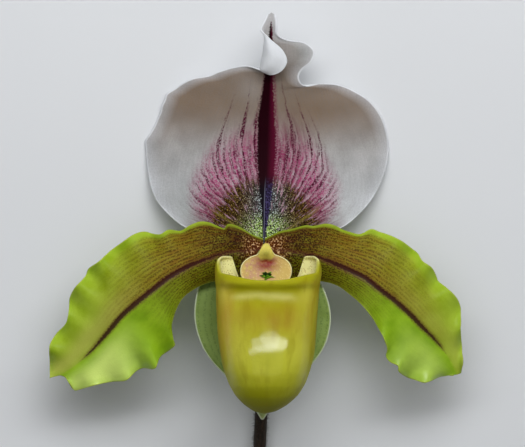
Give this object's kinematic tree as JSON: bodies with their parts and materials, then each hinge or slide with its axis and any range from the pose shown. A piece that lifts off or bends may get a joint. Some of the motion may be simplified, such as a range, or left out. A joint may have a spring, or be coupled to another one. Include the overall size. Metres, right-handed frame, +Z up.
{
  "type": "paphiopedilum orchid",
  "caption": "Cut slipper orchid bloom lying face up: broad pale dorsal sepal with a rolled tip, drooping waved petals, open pouch lip, shield over the column, and a length of scape.",
  "frame": {"origin": "on the surface that the bloom lies on, under the middle of its outline", "axes": "+Z up out of the face, +Y from the scape's cut end to the dorsal sepal's tip, +X to the right of a viewer who looks down on the face"},
  "size_m": [0.1021, 0.1729, 0.0509],
  "materials": {
    "dorsal": "satin",
    "synsepal": "satin",
    "petal": "satin",
    "lip": "gloss",
    "staminode": "satin",
    "column": "satin",
    "anther": "satin",
    "ovary": "matte",
    "bract": "satin",
    "scape": "matte"
  },
  "bodies": {
    "root": {"dorsal_sepal": "dorsal", "synsepal": "synsepal", "petal_left": "petal", "petal_right": "petal", "lip": "lip", "staminode": "staminode", "column": "column", "stigma": "column", "anther_left": "anther", "anther_right": "anther", "ovary": "ovary", "bract": "bract", "scape": "scape"}
  },
  "joints": []
}
